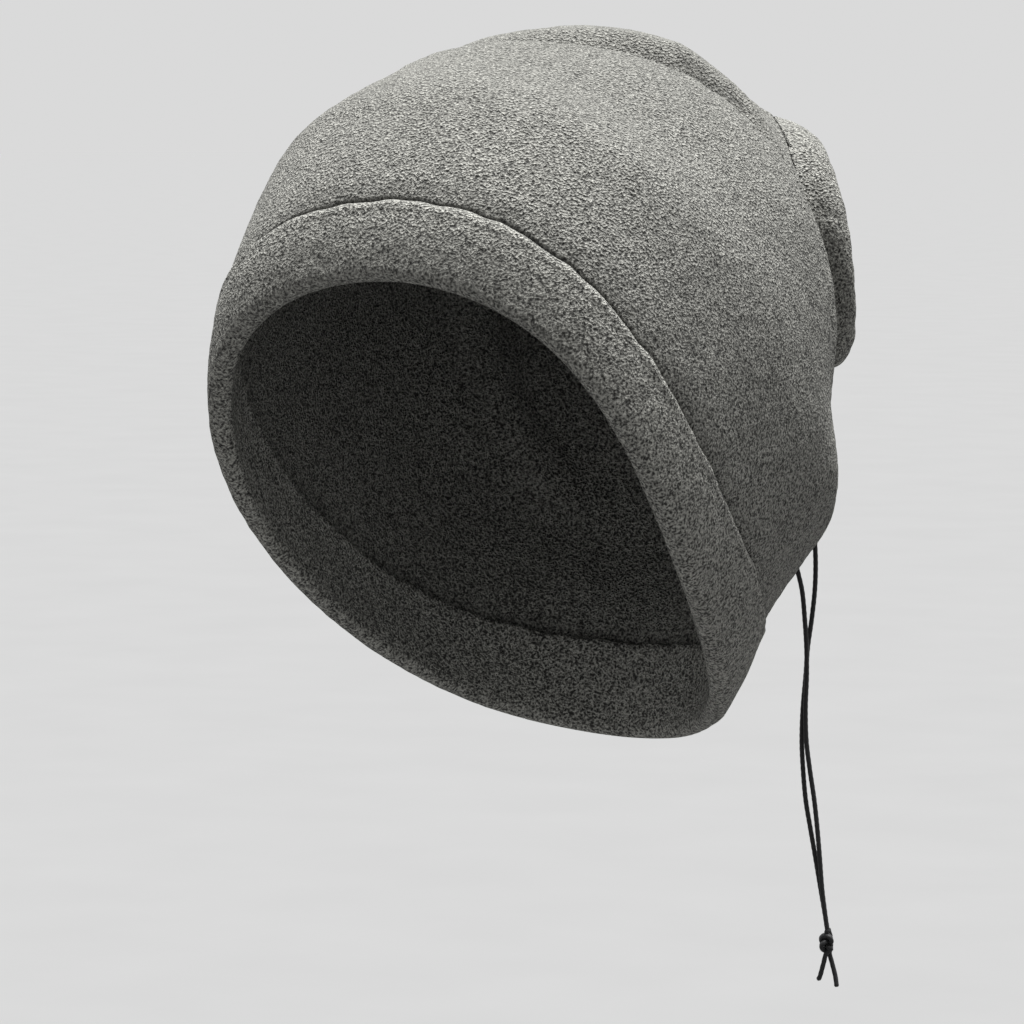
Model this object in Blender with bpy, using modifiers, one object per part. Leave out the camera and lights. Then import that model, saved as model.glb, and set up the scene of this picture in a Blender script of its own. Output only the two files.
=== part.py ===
"""Fleece tube hat with a folded face band and a drawstring-gathered crown, as worn on a head.

Frame: origin at the middle of the wearer's head at eye level, +Z up, the wearer faces -Y and
the wearer's left is +X. Units are metres; the tables below are written in millimetres.
"""
import math

import bmesh
import bpy
import numpy as np
from mathutils import Matrix, Vector

MM = 0.001
GAP = 0.3

# Fabric and seams (mm)
FLEECE_THICK = 3.0
BAND_THICK = 6.0
SEAM_GAP = 1.4
THREAD_RADIUS = 0.3
CORD_RADIUS = 0.75

# Sections of the worn fabric tube, from the face opening to the gather. Each one is an egg-shaped
# ring: place along the tube, centre (mm), turn to the wearer's left and lean upwards of its
# axis (degrees), half width, rise and drop from the centre (mm), how much the ring widens
# towards its top, how square it is, and how far its front and nape sit forward of its sides (mm).
SECTIONS = (
    # place   x    y    z   turn lean  half rise drop  egg square bow
    (0.00,    1,  -17,  -38,  -3,  46,   70,  96, 109, 0.20, 0.02, 12),
    (0.09,    1,   -8,  -15,  -3,  47,   75,  97, 104, 0.09, 0.03, 11),
    (0.26,    1,   16,   14,   2,  45,   80,  97, 102, 0.02, 0.03, 3),
    (0.42,    0,   38,   32,   3,  41,   77,  89,  91, 0.01, 0.00, 0),
    (0.56,    2,   60,   44,   7,  33,   70,  75,  74, 0.01, 0.00, 0),
    (0.68,    7,   81,   48,  16,  24,   59,  64,  58, 0.00, 0.00, 0),
    (0.80,   14,   98,   47,  28,  17,   48,  48,  46, 0.00, 0.00, 0),
    (0.91, 20.5, 108.5,  47,  40,  12, 41.5,  42,  42, 0.00, 0.00, 0),
    (1.00, 24.7, 115,  46.7,  50,   9, 38.2, 38.2, 38.2, 0.00, 0.00, 0),
)
BAND_END = 0.0875
TUBE_START = 0.0926
SEAM_TWIST = 28.0
RING_SEGMENTS = 44

# Gathered end: a squat bunched ring around the drawstring (mm, radius and distance out from
# the seam plane), and the route of the drawstring inside it.
GATHER_PROFILE = (
    (38.2, 0.7), (37.8, 5.0), (36.9, 8.5), (33.6, 13.0), (30.2, 16.4), (28.0, 17.8), (25.0, 18.4),
    (16.0, 17.4), (11.4, 15.4), (9.0, 12.0), (9.0, 3.0), (10.5, 0.7),
)
TUNNEL_RADIUS = 1.4
CORD_RING_RADIUS = 19.0
CORD_RING_OUT = 7.4
EYELET_OUT = 5.6
EYELET_ANGLES = (197.0, 219.0)
EYELET_SEAT = 36.2

# Cord lock on the two hanging cords (mm)
HANG_TURN = 33.0
LOCK_CENTRE = (89.4, 103.15, -36.0)
LOCK_SPACING = 3.0
LOCK_CORD_OFFSET = 0.4
BARREL_RADIUS = 7.5
BARREL_BORE = 5.7
BARREL_BACK = -13.5
BARREL_FLOOR = -11.3
BARREL_MOUTH = 5.5
PLUNGER_RADIUS = 5.35
PLUNGER_INNER = -3.6
PLUNGER_CAP = (9.0, 12.2)
PLUNGER_CAP_RADIUS = 6.6
HOLE_RADIUS = 1.5
HOLE_REACH = 4.3
SLOT = (-0.7, 4.9)
SPRING_RADIUS = 3.6
SPRING_WIRE = 0.28
SPRING_TURNS = 5

# Hanging cords below the lock: sideways place, back place, height (mm), along HANG_TURN
LEFT_CORD = (
    (92.8, 103.8, -51), (93.1, 104.3, -58), (92.9, 104.5, -66), (92.0, 104.5, -75),
    (90.8, 104.5, -84), (90.2, 104.5, -93), (89.4, 104.5, -103), (89.1, 104.5, -113),
    (89.5, 104.5, -122), (90.4, 104.5, -132), (91.9, 104.5, -141), (93.5, 104.5, -150),
    (95.2, 104.5, -160), (96.6, 104.5, -168), (97.4, 104.5, -173),
)
RIGHT_CORD = (
    (86.3, 103.3, -51), (87.0, 102.8, -58), (88.8, 102.6, -66), (89.7, 102.6, -75),
    (90.3, 102.6, -84), (90.4, 102.6, -93), (90.1, 102.6, -103), (90.4, 102.6, -113),
    (91.5, 102.6, -122), (93.0, 102.6, -132), (94.0, 102.6, -141), (94.8, 102.6, -150),
    (95.6, 102.6, -160), (96.6, 102.6, -168), (97.3, 102.6, -173),
)
KNOT_CENTRE = (97.6, 103.55, -177.5)
KNOT_SIZE = (3.4, 3.4, 4.0)


# ---------------------------------------------------------------- fabric surface

def monotone(xs, ys, x):
    """Smooth curve through (xs, ys) that never overshoots them, read at x."""
    h = np.diff(xs)
    d = np.diff(ys, axis=0) / h[:, None]
    m = np.zeros_like(ys)
    w1 = (2 * h[1:] + h[:-1])[:, None]
    w2 = (h[1:] + 2 * h[:-1])[:, None]
    same = d[:-1] * d[1:] > 0
    safe0 = np.where(same, d[:-1], 1.0)
    safe1 = np.where(same, d[1:], 1.0)
    m[1:-1] = np.where(same, (w1 + w2) / (w1 / safe0 + w2 / safe1), 0.0)
    m[0] = d[0]
    m[-1] = d[-1]
    k = np.clip(np.searchsorted(xs, x, side="right") - 1, 0, len(h) - 1)
    t = ((x - xs[k]) / h[k])[:, None]
    hk = h[k][:, None]
    a = (1 + 2 * t) * (1 - t) ** 2 * ys[k] + t * (1 - t) ** 2 * hk * m[k]
    b = t * t * (3 - 2 * t) * ys[k + 1] + t * t * (t - 1) * hk * m[k + 1]
    return a + b


def axes(turn, lean):
    """Along, side and rise directions of a section whose axis is turned and leaned (radians)."""
    along = np.stack([np.sin(turn) * np.cos(lean), np.cos(turn) * np.cos(lean), np.sin(lean)], -1)
    side = np.stack([np.cos(turn), -np.sin(turn), 0 * turn], -1)
    return along, side, np.cross(side, along)


def fabric(place, angle):
    """Outer surface at each place (n,) and angle (n, m) in radians, as (n, m, 3) mm.

    The angle runs from the top (0) over the wearer's left side (90) to the underside (180).
    """
    table = np.array(SECTIONS, float)
    s = monotone(table[:, 0], table[:, 1:], np.asarray(place, float))
    along, side, rise = axes(np.radians(s[:, 3]), np.radians(s[:, 4]))
    sin = np.sin(angle)
    cos = np.cos(angle)
    square = s[:, 9:10]
    x = s[:, 5:6] * (sin + square * np.sin(3 * angle)) / (1 - square) * (1 + s[:, 8:9] * cos)
    y = np.where(cos > 0, s[:, 6:7], s[:, 7:8]) * (cos - square * np.cos(3 * angle)) / (1 - square)
    bow = s[:, 10:11] * np.cos(2 * angle)
    flat = s[:, None, 0:3] + x[..., None] * side[:, None] + y[..., None] * rise[:, None]
    return flat + bow[..., None] * along[:, None]


def seam_angle(place):
    """The back seam runs from the nape and drifts round as the tube twists towards the gather."""
    t = np.clip(np.asarray(place, float), 0, 1)
    return np.pi + math.radians(SEAM_TWIST) * t * t * (3 - 2 * t)


def gather_frame():
    table = np.array(SECTIONS, float)[-1]
    along, side, rise = axes(np.radians(table[4]), np.radians(table[5]))
    return table[1:4], along, side, rise


def gather_point(angle_deg, radius, out):
    """Point of the gather at an angle round its axis, a radius and a distance out (mm)."""
    centre, along, side, rise = gather_frame()
    a = math.radians(angle_deg)
    return centre + out * along + radius * (math.cos(a) * rise + math.sin(a) * side)


def hang_point(sideways, back, height):
    a = math.radians(HANG_TURN)
    x = math.cos(a) * sideways - math.sin(a) * back
    y = math.sin(a) * sideways + math.cos(a) * back
    return np.array([x, y, height])


# ---------------------------------------------------------------- Blender helpers

def clear_scene():
    for obj in list(bpy.data.objects):
        bpy.data.objects.remove(obj, do_unlink=True)


def new_collection(name):
    coll = bpy.data.collections.new(name)
    bpy.context.scene.collection.children.link(coll)
    return coll


def material(name, colour, roughness, metallic=0.0):
    mat = bpy.data.materials.new(name)
    mat.use_nodes = True
    shader = mat.node_tree.nodes["Principled BSDF"]
    shader.inputs["Base Color"].default_value = (*colour, 1.0)
    shader.inputs["Roughness"].default_value = roughness
    shader.inputs["Metallic"].default_value = metallic
    mat.diffuse_color = (*colour, 1.0)
    return mat


def add_object(name, data, coll, mat=None, parent=None):
    obj = bpy.data.objects.new(name, data)
    coll.objects.link(obj)
    if mat is not None:
        data.materials.append(mat)
    if parent is not None:
        obj.parent = parent
    return obj


def add_empty(name, coll, location=(0, 0, 0), turn=0.0):
    obj = bpy.data.objects.new(name, None)
    obj.location = location
    obj.rotation_euler = (0, 0, turn)
    obj.empty_display_size = 0.02
    coll.objects.link(obj)
    return obj


def loft(name, grid, closed):
    """Open surface over a grid of sections (n, m, 3) in mm; closed joins each section's ends."""
    bm = bmesh.new()
    rows = [[bm.verts.new(Vector(p) * MM) for p in row] for row in grid]
    across = len(rows[0])
    steps = across if closed else across - 1
    for i in range(len(rows) - 1):
        for j in range(steps):
            k = (j + 1) % across
            bm.faces.new((rows[i][j], rows[i][k], rows[i + 1][k], rows[i + 1][j]))
    mesh = bpy.data.meshes.new(name)
    bm.to_mesh(mesh)
    bm.free()
    mesh.shade_smooth()
    return mesh


def solidify(obj, thickness):
    mod = obj.modifiers.new("thickness", "SOLIDIFY")
    mod.thickness = thickness * MM
    mod.offset = -1.0
    mod.use_even_offset = True
    return mod


def bevel(obj, width, segments, angle_deg):
    mod = obj.modifiers.new("round", "BEVEL")
    mod.width = width * MM
    mod.segments = segments
    mod.limit_method = "ANGLE"
    mod.angle_limit = math.radians(angle_deg)
    return mod


def tube_data(name, points, radius, cyclic=False, sides=2):
    """Round cord along points (n, 3) in mm."""
    curve = bpy.data.curves.new(name, "CURVE")
    curve.dimensions = "3D"
    curve.bevel_depth = radius * MM
    curve.bevel_resolution = sides
    curve.use_fill_caps = not cyclic
    spline = curve.splines.new("POLY")
    spline.points.add(len(points) - 1)
    for i, p in enumerate(points):
        spline.points[i].co = (*(Vector(p) * MM), 1.0)
    spline.use_cyclic_u = cyclic
    return curve


def tube(name, points, radius, coll, mat, parent=None, cyclic=False, sides=2):
    return add_object(name, tube_data(name, points, radius, cyclic, sides), coll, mat, parent)


def turned_data(name, profile, closed):
    """Edges of a profile of (radius, height) in mm, for a Screw modifier about Z."""
    bm = bmesh.new()
    verts = [bm.verts.new((r * MM, 0.0, z * MM)) for r, z in profile]
    for a, b in zip(verts, verts[1:]):
        bm.edges.new((a, b))
    if closed:
        bm.edges.new((verts[-1], verts[0]))
    mesh = bpy.data.meshes.new(name)
    bm.to_mesh(mesh)
    bm.free()
    return mesh


def turned(name, profile, coll, mat=None, parent=None, closed=True, steps=32):
    obj = add_object(name, turned_data(name, profile, closed), coll, mat, parent)
    mod = obj.modifiers.new("turn", "SCREW")
    mod.axis = "Z"
    mod.steps = steps
    mod.render_steps = steps
    mod.use_merge_vertices = True
    mod.merge_threshold = 0.00001
    mod.use_smooth_shade = True
    return obj


def cylinder(name, radius, low, high, coll, mat=None, parent=None, sides=32):
    """Cylinder about the local Z axis between two heights (mm)."""
    bm = bmesh.new()
    place = Matrix.Translation((0, 0, (low + high) / 2 * MM))
    bmesh.ops.create_cone(bm, cap_ends=True, segments=sides, radius1=radius * MM,
                          radius2=radius * MM, depth=(high - low) * MM, matrix=place)
    mesh = bpy.data.meshes.new(name)
    bm.to_mesh(mesh)
    bm.free()
    return add_object(name, mesh, coll, mat, parent)


def boolean(obj, other, operation="DIFFERENCE"):
    mod = obj.modifiers.new(operation.lower(), "BOOLEAN")
    mod.operation = operation
    mod.object = other
    mod.solver = "EXACT"
    return mod


def as_cutter(obj):
    obj.hide_render = True
    obj.display_type = "WIRE"
    return obj


def mesh_from(obj, coll):
    """The object's evaluated shape as a welded mesh object in its place."""
    bpy.context.view_layer.update()
    graph = bpy.context.evaluated_depsgraph_get()
    name = obj.name
    mesh = bpy.data.meshes.new_from_object(obj.evaluated_get(graph))
    bm = bmesh.new()
    bm.from_mesh(mesh)
    bmesh.ops.remove_doubles(bm, verts=bm.verts, dist=1e-6)
    bmesh.ops.recalc_face_normals(bm, faces=bm.faces)
    bm.to_mesh(mesh)
    bm.free()
    matrix = obj.matrix_world.copy()
    bpy.data.objects.remove(obj, do_unlink=True)
    new = bpy.data.objects.new(name, mesh)
    coll.objects.link(new)
    new.matrix_world = matrix
    return new


def smooth_route(points, count):
    """Evenly spaced points on the smooth curve through the route points (n, 3)."""
    pts = np.array(points, float)
    ends = np.vstack([2 * pts[0] - pts[1], pts, 2 * pts[-1] - pts[-2]])
    fine = []
    for i in range(1, len(ends) - 2):
        p0, p1, p2, p3 = ends[i - 1:i + 3]
        for t in np.linspace(0, 1, 24, endpoint=False):
            fine.append(0.5 * (2 * p1 + (p2 - p0) * t + (2 * p0 - 5 * p1 + 4 * p2 - p3) * t * t
                               + (3 * p1 - p0 - 3 * p2 + p3) * t ** 3))
    fine.append(pts[-1])
    fine = np.array(fine)
    run = np.concatenate([[0], np.cumsum(np.linalg.norm(np.diff(fine, axis=0), axis=1))])
    at = np.linspace(0, run[-1], count)
    return np.stack([np.interp(at, run, fine[:, k]) for k in range(3)], -1)


def frame_matrix(origin, z_axis, x_hint):
    """Matrix whose local Z lies along z_axis, at origin (mm)."""
    z = Vector(z_axis).normalized()
    x = (Vector(x_hint) - Vector(x_hint).dot(z) * z).normalized()
    y = z.cross(x)
    rot = Matrix((x, y, z)).transposed().to_4x4()
    return Matrix.Translation(Vector(origin) * MM) @ rot


# ---------------------------------------------------------------- build

clear_scene()
parts = new_collection("drawstring_fleece_hat")
cutters = new_collection("cutters")
cutters.hide_render = True

fleece = material("fleece_grey", (0.155, 0.155, 0.148), 0.95)
fleece_band = material("fleece_grey_band", (0.145, 0.145, 0.138), 0.95)
fleece_gather = material("fleece_grey_gather", (0.15, 0.15, 0.143), 0.95)
thread_mat = material("thread_dark_grey", (0.05, 0.05, 0.048), 0.7)
cord_mat = material("cord_black", (0.01, 0.01, 0.011), 0.6)
eyelet_mat = material("eyelet_black_metal", (0.03, 0.03, 0.032), 0.35, 1.0)
barrel_mat = material("lock_black_plastic", (0.012, 0.012, 0.013), 0.5)
plunger_mat = material("lock_plunger_plastic", (0.015, 0.015, 0.016), 0.45)
spring_mat = material("spring_steel", (0.55, 0.55, 0.56), 0.3, 1.0)

hat = add_empty("hat", parts)

# Crown tube: one layer of fleece rolled into a tube, open along its back seam
places = np.concatenate([np.linspace(TUBE_START, 0.80, 10), np.linspace(0.87, 1.0, 3)])
mid = seam_angle(places)
radius_here = monotone(np.array(SECTIONS, float)[:, 0], np.array(SECTIONS, float)[:, 7:9], places)[:, 1]
half_slit = SEAM_GAP / 2 / radius_here
turns = np.linspace(0, 1, RING_SEGMENTS + 1)[None, :]
angles = mid[:, None] + half_slit[:, None] + turns * (2 * np.pi - 2 * half_slit[:, None])
tube_grid = fabric(places, angles)
tube_grid[-1] -= SEAM_GAP / 2 * gather_frame()[1]
crown = add_object("crown_tube", loft("crown_tube", tube_grid, False), parts, fleece, hat)
solidify(crown, FLEECE_THICK)

# Face band: the fleece folded double around the face opening
band_places = np.linspace(0, BAND_END, 4)
ring = np.linspace(0, 2 * np.pi, RING_SEGMENTS, endpoint=False)
band_grid = fabric(band_places, np.tile(ring, (len(band_places), 1)))
band = add_object("face_band", loft("face_band", band_grid, True), parts, fleece_band, hat)
solidify(band, BAND_THICK)
bevel(band, 2.2, 2, 50)

# Thread of the band seam, lying in the groove between band and tube
groove = (BAND_END + TUBE_START) / 2
line = np.array([BAND_END, groove, TUBE_START])
edge = fabric(line, np.tile(ring, (3, 1)))
tangent = np.roll(edge[1], -1, axis=0) - np.roll(edge[1], 1, axis=0)
outward = np.cross(tangent, edge[2] - edge[0])
outward /= np.linalg.norm(outward, axis=1)[:, None]
seam_ring = (edge[0] + edge[2]) / 2 - outward * FLEECE_THICK / 2
tube("band_seam_thread", seam_ring, THREAD_RADIUS, parts, thread_mat, hat, cyclic=True, sides=0)

# Thread of the back seam, midway between the two edges of the open slit
middle = (tube_grid[:, 0] + tube_grid[:, -1]) / 2
across = tube_grid[:, 0] - tube_grid[:, -1]
outward = np.cross(across, np.gradient(middle, axis=0))
outward /= np.linalg.norm(outward, axis=1)[:, None]
back_line = middle - outward * FLEECE_THICK / 2
back_line[0] += (back_line[1] - back_line[0]) * 0.12
back_line[-1] += (back_line[-2] - back_line[-1]) * 0.35
tube("back_seam_thread", back_line, THREAD_RADIUS, parts, thread_mat, hat, sides=0)

# Gathered casing: the hem bunched round the drawstring
centre, along, side, rise = gather_frame()
gather_matrix = frame_matrix(centre, along, rise)
casing = turned("drawstring_casing", GATHER_PROFILE[::-1], parts, fleece_gather, hat,
                steps=RING_SEGMENTS)
casing.matrix_world = gather_matrix

# Thread of the casing seam
thread_turn = np.radians(np.arange(0, 360, 360 / RING_SEGMENTS))
casing_line = [gather_point(math.degrees(a), 38.2 - FLEECE_THICK / 2, 0.0) for a in thread_turn]
tube("casing_seam_thread", casing_line, THREAD_RADIUS, parts, thread_mat, hat, cyclic=True, sides=0)

# Drawstring inside the casing, from one eyelet round the gather to the other
first, last = EYELET_ANGLES
inside = [(first, 31.2, EYELET_OUT), (first - 1, 28.0, 5.9), (first - 9, 23.4, 6.8),
          (first - 27, 20.0, CORD_RING_OUT)]
for a in np.linspace(first - 47, last - 360 + 47, 11):
    inside.append((a, CORD_RING_RADIUS, CORD_RING_OUT))
inside += [(last - 360 + 27, 20.0, CORD_RING_OUT), (last - 360 + 9, 23.4, 6.8),
           (last - 360 + 1, 28.0, 5.9), (last - 360, 31.2, EYELET_OUT)]
inside_route = smooth_route([gather_point(*p) for p in inside], 40)
tube("drawstring_loop", inside_route, CORD_RADIUS, parts, cord_mat, hat)

tunnel_ends = [gather_point(first, 31.9, EYELET_OUT), gather_point(last, 31.9, EYELET_OUT)]
tunnel_route = np.vstack([tunnel_ends[0], inside_route[1:-1], tunnel_ends[1]])
tunnel = tube("tunnel_cutter", tunnel_route, TUNNEL_RADIUS, cutters, None, sides=1)
tunnel = as_cutter(mesh_from(tunnel, cutters))
boolean(casing, tunnel)

# Eyelets: flange outside, flare inside, clamping the casing's wall
seat = EYELET_SEAT
eyelet_profile = (
    (1.70, seat + 0.95), (2.05, seat + 1.30), (4.00, seat + 1.20), (4.60, seat + 0.75),
    (4.60, seat + GAP), (2.60, seat + GAP), (2.60, seat - 3.60), (3.55, seat - 3.60),
    (3.55, seat - 4.20), (1.95, seat - 4.30), (1.70, seat - 4.00),
)
for name, angle in zip(("eyelet_left", "eyelet_right"), EYELET_ANGLES):
    foot = gather_point(angle, 0.0, EYELET_OUT)
    radial = gather_point(angle, 1.0, EYELET_OUT) - foot
    place = frame_matrix(foot, radial, along)
    eyelet = turned(name, eyelet_profile, parts, eyelet_mat, hat, steps=18)
    eyelet.matrix_world = place
    for kind, size, low, high in (("seat", 5.1, seat, seat + 6), ("bore", 2.9, 32.2, seat + 1),
                                  ("pocket", 3.85, 31.4, seat - 3.3)):
        cut = cylinder(f"{name}_{kind}_cutter", size, low, high, cutters, sides=18)
        cut.matrix_world = place
        boolean(casing, as_cutter(cut))

# Hanging cords: out of the eyelets, through the lock, down to the knot
lock_side, lock_back, lock_height = LOCK_CENTRE
for name, angle, sign, below in (("cord_tail_left", first, 1, LEFT_CORD),
                                 ("cord_tail_right", last, -1, RIGHT_CORD)):
    start = [gather_point(angle, r, EYELET_OUT) for r in (31.5, 34.5, 37.5)]
    leave = gather_point(angle, 40.0, EYELET_OUT)
    hole = hang_point(lock_side + sign * LOCK_SPACING, lock_back + LOCK_CORD_OFFSET, 0.0)
    drop = [hole + np.array([0, 0, lock_height + dz]) for dz in (8.5, 4.0, -4.0, -8.5)]
    swing = []
    for t, bulge in ((0.28, 0.42), (0.62, 0.80)):
        spot = leave + (drop[0] - leave) * t
        spot[:2] = leave[:2] + (drop[0][:2] - leave[:2]) * bulge
        swing.append(spot)
    route = start + [leave] + swing + drop + [hang_point(*p) for p in below]
    tube(name, smooth_route(route, 56), CORD_RADIUS, parts, cord_mat, hat)

# Knot that joins the two cords, with two short free ends
knot_place = hang_point(*KNOT_CENTRE)
bm = bmesh.new()
bmesh.ops.create_uvsphere(bm, u_segments=12, v_segments=8, radius=1.0)
bmesh.ops.scale(bm, vec=Vector(KNOT_SIZE) * MM, verts=bm.verts)
knot_mesh = bpy.data.meshes.new("cord_knot")
bm.to_mesh(knot_mesh)
bm.free()
knot_mesh.shade_smooth()
knot = add_object("cord_knot", knot_mesh, parts, cord_mat, hat)
knot.location = Vector(knot_place) * MM
knot.rotation_euler = (0, 0, math.radians(HANG_TURN))
for name, lean, length in (("end_a", 1.0, 13.0), ("end_b", -1.0, 15.0)):
    end_route = [knot_place + hang_point(0.9 * lean, 0.3 * lean, -2.5),
                 knot_place + hang_point(1.4 * lean, 0.5 * lean, -6.0),
                 knot_place + hang_point(2.3 * lean, 0.2 * lean, -10.0),
                 knot_place + hang_point(2.8 * lean, -0.4 * lean, -length)]
    end = tube(name, smooth_route(end_route, 7), CORD_RADIUS, cutters, None)
    end = as_cutter(mesh_from(end, cutters))
    boolean(knot, end, "UNION")

# Cord lock: barrel, spring and plunger. Local X crosses the cords, Y is the press axis, Z is up
lock = add_empty("cord_lock", parts, Vector(hang_point(*LOCK_CENTRE)) * MM, math.radians(HANG_TURN))
press = Matrix.Rotation(math.radians(-90), 4, "X")

barrel_profile = (
    (0.0, BARREL_FLOOR), (BARREL_BORE, BARREL_FLOOR), (BARREL_BORE, BARREL_MOUTH),
    (BARREL_RADIUS - 0.8, BARREL_MOUTH), (BARREL_RADIUS, BARREL_MOUTH - 0.8),
    (BARREL_RADIUS, BARREL_BACK + 1.6), (BARREL_RADIUS - 0.5, BARREL_BACK + 0.6),
    (BARREL_RADIUS - 1.6, BARREL_BACK), (0.0, BARREL_BACK),
)
barrel = turned("lock_barrel", barrel_profile, parts, barrel_mat, lock, closed=False, steps=28)
barrel.matrix_local = press

plunger_profile = (
    (0.0, PLUNGER_CAP[1]), (PLUNGER_CAP_RADIUS - 1.6, PLUNGER_CAP[1]),
    (PLUNGER_CAP_RADIUS - 0.5, PLUNGER_CAP[1] - 0.5), (PLUNGER_CAP_RADIUS, PLUNGER_CAP[1] - 1.4),
    (PLUNGER_CAP_RADIUS, PLUNGER_CAP[0]), (PLUNGER_RADIUS, PLUNGER_CAP[0]),
    (PLUNGER_RADIUS, PLUNGER_INNER + 0.5), (PLUNGER_RADIUS - 0.5, PLUNGER_INNER),
    (0.0, PLUNGER_INNER),
)
plunger_joint = add_empty("plunger_axis", parts)
plunger_joint.parent = lock
plunger = turned("lock_plunger", plunger_profile, parts, plunger_mat, plunger_joint, closed=False,
                 steps=28)
plunger.matrix_local = press



def oblong(name, reach, near, far, height):
    """Upright prism with round corners: half width along X, extent along Y, height (mm)."""
    outline = []
    radius = HOLE_RADIUS
    for x, y, start in ((reach - radius, far - radius, 0), (radius - reach, far - radius, 90),
                        (radius - reach, near + radius, 180), (reach - radius, near + radius, 270)):
        for a in np.radians(start + np.arange(0, 91, 30)):
            outline.append((x + radius * math.cos(a), y + radius * math.sin(a)))
    bm = bmesh.new()
    face = bm.faces.new([bm.verts.new((x * MM, y * MM, -height / 2 * MM)) for x, y in outline])
    grown = bmesh.ops.extrude_face_region(bm, geom=[face])
    top = [v for v in grown["geom"] if isinstance(v, bmesh.types.BMVert)]
    bmesh.ops.translate(bm, verts=top, vec=(0, 0, height * MM))
    bmesh.ops.remove_doubles(bm, verts=bm.verts, dist=1e-7)
    bmesh.ops.recalc_face_normals(bm, faces=bm.faces)
    mesh = bpy.data.meshes.new(name)
    bm.to_mesh(mesh)
    bm.free()
    return as_cutter(add_object(name, mesh, cutters, None, lock))


boolean(barrel, oblong("passage_cutter", HOLE_REACH, -HOLE_RADIUS, HOLE_RADIUS, 24.0))
boolean(plunger, oblong("slot_cutter", HOLE_REACH, SLOT[0], SLOT[1], 18.0))

low = BARREL_FLOOR + GAP + SPRING_WIRE
high = PLUNGER_INNER - GAP - SPRING_WIRE
coil = []
for i in range(SPRING_TURNS * 10 + 1):
    a = 2 * math.pi * i / 10
    out = low + (high - low) * i / (SPRING_TURNS * 10)
    coil.append((SPRING_RADIUS * math.cos(a), out, SPRING_RADIUS * math.sin(a)))
tube("lock_spring", coil, SPRING_WIRE, parts, spring_mat, lock, sides=0)

bpy.context.view_layer.update()
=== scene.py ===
"""Looks of the drawstring fleece hat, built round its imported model.

Frame: origin at the middle of the wearer's head at eye level, +Z up, the wearer faces -Y and the
wearer's left is +X. Units are metres and degrees. The fabric follows the same worn surface as the
model's solids; folds, rolled edges, pleats and pile are laid over it.
"""
import math

import bmesh
import bpy
import numpy as np
from mathutils import Matrix, Vector, noise


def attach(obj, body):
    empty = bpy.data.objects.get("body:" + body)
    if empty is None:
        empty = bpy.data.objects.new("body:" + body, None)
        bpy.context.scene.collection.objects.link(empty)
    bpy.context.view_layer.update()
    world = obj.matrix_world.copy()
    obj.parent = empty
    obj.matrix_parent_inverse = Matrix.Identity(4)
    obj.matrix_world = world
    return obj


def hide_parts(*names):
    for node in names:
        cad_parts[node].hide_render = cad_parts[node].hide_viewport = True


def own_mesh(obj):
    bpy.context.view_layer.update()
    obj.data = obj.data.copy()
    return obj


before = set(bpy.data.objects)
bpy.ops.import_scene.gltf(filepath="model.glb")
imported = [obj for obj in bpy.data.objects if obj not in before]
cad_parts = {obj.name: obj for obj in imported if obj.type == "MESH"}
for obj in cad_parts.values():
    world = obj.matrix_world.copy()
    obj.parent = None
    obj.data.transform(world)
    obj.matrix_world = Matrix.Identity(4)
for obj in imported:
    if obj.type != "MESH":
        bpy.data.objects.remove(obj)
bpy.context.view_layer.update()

# Camera: azimuth and elevation it looks from, distance, image scale at the origin, and how far
# the aimed point lies beside and below the origin
CAMERA_AZIMUTH = 33.0
CAMERA_ELEVATION = 5.0
CAMERA_DISTANCE = 1.3
PIXELS_PER_METRE = 3470.0
IMAGE_SIDE = 1024
AIM_ASIDE = -0.00173
AIM_RAISED = -0.0323
SENSOR_WIDTH = 36.0

# Fabric and seams. FOLD_RADIUS is half the thickness of the band where it turns over the rim. A whole
# unit of place is 0.293 m of cloth in the band and TUBE_LENGTH behind it.
FLEECE_THICK = 0.003
FOLD_RADIUS = 0.00315
SEAM_TWIST = 28.0
BAND_END = 0.0897
TUBE_START = 0.0900
TUBE_LENGTH = 0.23
BAND_REACH = BAND_END * 0.293
BAND_PUFF = 0.0015
SEAM_ROLL = 0.0013
GROOVE_DEPTH = 0.0016
GROOVE_WIDTH = 0.0011
WANDER_REACH = 0.006

# Columns of the rings of the tube and of the gather
TUBE_COLUMNS = 440
TUBE_ROWS = 176
GATHER_COLUMNS = 396

# Sections of the worn fabric tube, from the face opening to the gather: place along the tube,
# centre, turn to the wearer's left and lean upwards of the axis, half width, rise and drop from
# the centre, how much the ring widens towards its top, how square it is, and how far its front
# and nape sit forward of its sides.
SECTIONS = np.array((
    # place  x       y       z       turn lean half    rise    drop    egg   square bow
    (0.00, 0.001, -0.017, -0.038, -3, 46, 0.070, 0.096, 0.1115, 0.20, 0.02, 0.012),
    (0.09, 0.001, -0.008, -0.015, -3, 47, 0.075, 0.097, 0.1055, 0.09, 0.03, 0.011),
    (0.26, 0.001, 0.016, 0.014, 2, 45, 0.080, 0.097, 0.102, 0.02, 0.03, 0.003),
    (0.42, 0.000, 0.038, 0.032, 3, 41, 0.077, 0.089, 0.091, 0.01, 0.00, 0.000),
    (0.56, 0.002, 0.060, 0.044, 7, 33, 0.070, 0.075, 0.074, 0.01, 0.00, 0.000),
    (0.68, 0.007, 0.081, 0.048, 16, 24, 0.059, 0.064, 0.058, 0.00, 0.00, 0.000),
    (0.80, 0.014, 0.098, 0.047, 28, 17, 0.048, 0.048, 0.046, 0.00, 0.00, 0.000),
    (0.91, 0.0205, 0.1085, 0.047, 40, 12, 0.0415, 0.042, 0.042, 0.00, 0.00, 0.000),
    (1.00, 0.0247, 0.115, 0.0467, 50, 9, 0.0382, 0.0382, 0.0382, 0.00, 0.00, 0.000),
))

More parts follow.
